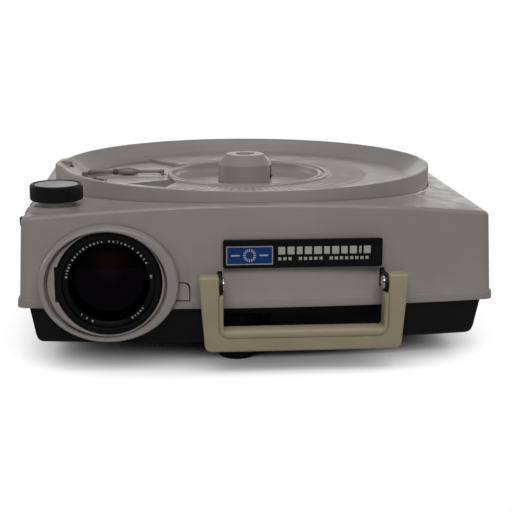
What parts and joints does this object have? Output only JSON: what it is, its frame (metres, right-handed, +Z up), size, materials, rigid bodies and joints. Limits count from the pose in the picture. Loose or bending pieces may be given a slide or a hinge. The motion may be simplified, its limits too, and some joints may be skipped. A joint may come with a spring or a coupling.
{
  "type": "slide projector",
  "caption": "Slide projector: arched housing with a round tray well and hub on top, front lens in an oval bezel, focus knob, swinging carry handle, black base with feet.",
  "frame": {"origin": "on the slide tray's axis, in the face of the mounting pad under the base", "axes": "+Z up, the lens looks along -Y, +X towards the right side as seen from the front"},
  "size_m": [0.2914, 0.2893, 0.1117],
  "materials": {
    "grey_paint": "satin, slightly worn",
    "light_metal": "satin",
    "black_plastic": "fine moulded grain",
    "beige_plastic": "satin",
    "cream_plastic": "satin",
    "black_rubber": "matt",
    "black_lacquer": "semi-gloss",
    "lens_glass": "coated, polished",
    "clear_glass": "polished",
    "blue_panel": "printed, gloss",
    "steel": "brushed",
    "dark_steel": "oxidised",
    "chrome": "polished",
    "aluminium": "satin",
    "brass": "aged",
    "black_anodised": "matt anodised",
    "satin_disc": "satin, spun"
  },
  "bodies": {
    "housing": {"top_housing": "grey_paint", "tray_well": "grey_paint", "gate_plate": "light_metal", "tray_hub": "grey_paint", "hub_screw": "steel", "base_tub": "black_plastic", "base_screw_1": "steel", "base_screw_2": "steel", "base_screw_3": "steel", "base_screw_4": "steel", "rear_foot": "black_rubber", "lens_bezel": "grey_paint", "lens_carrier": "dark_steel", "nameplate": "black_lacquer", "nameplate_panel": "blue_panel", "handle_bracket_left": "dark_steel", "handle_bracket_right": "dark_steel", "handle_pin_left": "chrome", "handle_pin_right": "chrome", "control_panel": "aluminium", "chassis_plate": "steel", "gate_frame": "black_anodised", "condenser_cradle": "aluminium", "front_condenser": "clear_glass", "rear_condenser": "clear_glass", "heat_glass": "clear_glass", "lamp_reflector": "aluminium", "arc_lamp": "clear_glass", "lamp_bracket": "steel", "door_hinge_pin": "steel", "motor": "dark_steel", "gear_bracket": "steel", "rear_grille": "black_plastic", "power_inlet": "black_plastic", "remote_socket": "black_plastic"},
    "lens": {"lens_barrel": "black_lacquer", "lens_name_ring": "black_lacquer", "lens_front_glass": "lens_glass", "lens_rear_glass": "lens_glass"},
    "focus_knob": {"focus_knob": "black_plastic", "focus_knob_disc": "satin_disc", "focus_spindle": "steel"},
    "carry_handle": {"carry_handle": "beige_plastic"},
    "hub_latch": {"hub_latch": "brass"},
    "elevation_wheel": {"elevation_wheel": "black_plastic"},
    "elevation_foot": {"elevation_foot": "dark_steel"},
    "levelling_nut": {"levelling_nut": "black_plastic"},
    "levelling_foot": {"levelling_foot": "dark_steel"},
    "reverse_button": {"reverse_button": "black_plastic"},
    "forward_button": {"forward_button": "black_plastic"},
    "select_bar": {"select_bar": "black_plastic"},
    "power_switch": {"power_switch": "black_plastic"},
    "slide_lifter": {"slide_lifter": "steel"},
    "shutter": {"shutter_blade": "dark_steel"},
    "pressure_rod": {"pressure_rod": "light_metal"},
    "index_pawl": {"index_pawl": "black_plastic"},
    "fan": {"motor_shaft": "steel", "fan_impeller": "black_plastic"},
    "cam_gear": {"cam_gear": "cream_plastic"},
    "lamp_door": {"lamp_door": "grey_paint"}
  },
  "joints": [
    {"name": "focus_knob_turn", "type": "hinge", "parent": "housing", "child": "focus_knob", "pos_m": [-0.1215, -0.0975, 0.09], "axis": [0, 0, 1], "range_deg": [-108, 108]},
    {"name": "lens_focus", "type": "slide", "parent": "housing", "child": "lens", "axis": [0, 1, 0], "range_m": [-0.0094, 0.0094]},
    {"name": "handle_swing", "type": "hinge", "parent": "housing", "child": "carry_handle", "pos_m": [0.025, -0.1405, 0.0422], "axis": [-1, 0, 0], "range_deg": [0, 95]},
    {"name": "hub_latch_press", "type": "slide", "parent": "housing", "child": "hub_latch", "axis": [-0.9336, 0.3584, 0], "range_m": [0, 0.0025], "stiffness_N_per_m": 200},
    {"name": "elevation_wheel_turn", "type": "hinge", "parent": "housing", "child": "elevation_wheel", "pos_m": [-0.0125, -0.108, 0.015], "axis": [0, 0, 1], "range_deg": [0, 1800]},
    {"name": "elevation_foot_travel", "type": "slide", "parent": "housing", "child": "elevation_foot", "axis": [0, 0, -1], "range_m": [0, 0.02]},
    {"name": "levelling_nut_turn", "type": "hinge", "parent": "housing", "child": "levelling_nut", "pos_m": [0.095, 0.105, -0.002], "axis": [0, 0, 1], "range_deg": [0, 720]},
    {"name": "levelling_foot_travel", "type": "slide", "parent": "housing", "child": "levelling_foot", "axis": [0, 0, -1], "range_m": [0, 0.003]},
    {"name": "reverse_button_press", "type": "slide", "parent": "housing", "child": "reverse_button", "axis": [1, 0, 0], "range_m": [0, 0.002], "stiffness_N_per_m": 300},
    {"name": "forward_button_press", "type": "slide", "parent": "housing", "child": "forward_button", "axis": [1, 0, 0], "range_m": [0, 0.002], "stiffness_N_per_m": 300},
    {"name": "select_bar_press", "type": "slide", "parent": "housing", "child": "select_bar", "axis": [1, 0, 0], "range_m": [0, 0.002], "stiffness_N_per_m": 300},
    {"name": "power_switch_slide", "type": "slide", "parent": "housing", "child": "power_switch", "axis": [0, 1, 0], "range_m": [0, 0.007]},
    {"name": "slide_lift", "type": "slide", "parent": "housing", "child": "slide_lifter", "axis": [0, 0, 1], "range_m": [0, 0.064]},
    {"name": "shutter_open", "type": "slide", "parent": "housing", "child": "shutter", "axis": [1, 0, 0], "range_m": [0, 0.044], "stiffness_N_per_m": 20},
    {"name": "pressure_rod_rock", "type": "hinge", "parent": "housing", "child": "pressure_rod", "pos_m": [-0.09, 0.01, 0.0867], "axis": [-1, 0, 0], "range_deg": [0, 14], "stiffness_Nm_per_rad": 0.02},
    {"name": "index_pawl_step", "type": "slide", "parent": "housing", "child": "index_pawl", "axis": [0, 1, 0], "range_m": [-0.003, 0.003], "stiffness_N_per_m": 100},
    {"name": "fan_spin", "type": "hinge", "parent": "housing", "child": "fan", "pos_m": [0.05, 0.09, 0.042], "axis": [0, 1, 0], "continuous": true},
    {"name": "cam_gear_turn", "type": "hinge", "parent": "housing", "child": "cam_gear", "pos_m": [0.02, 0.033, 0.042], "axis": [0, 1, 0], "continuous": true},
    {"name": "lamp_door_swing", "type": "hinge", "parent": "housing", "child": "lamp_door", "pos_m": [-0.1265, 0.1374, 0.053], "axis": [0, 0, 1], "range_deg": [0, 110]}
  ],
  "couplings": [
    {"joint": "focus_knob_turn", "follows": "lens_focus", "rad_per_m": 200},
    {"joint": "elevation_wheel_turn", "follows": "elevation_foot_travel", "rad_per_m": 1570.8},
    {"joint": "levelling_nut_turn", "follows": "levelling_foot_travel", "rad_per_m": 4188.8},
    {"joint": "cam_gear_turn", "follows": "fan_spin", "ratio": -0.25}
  ]
}
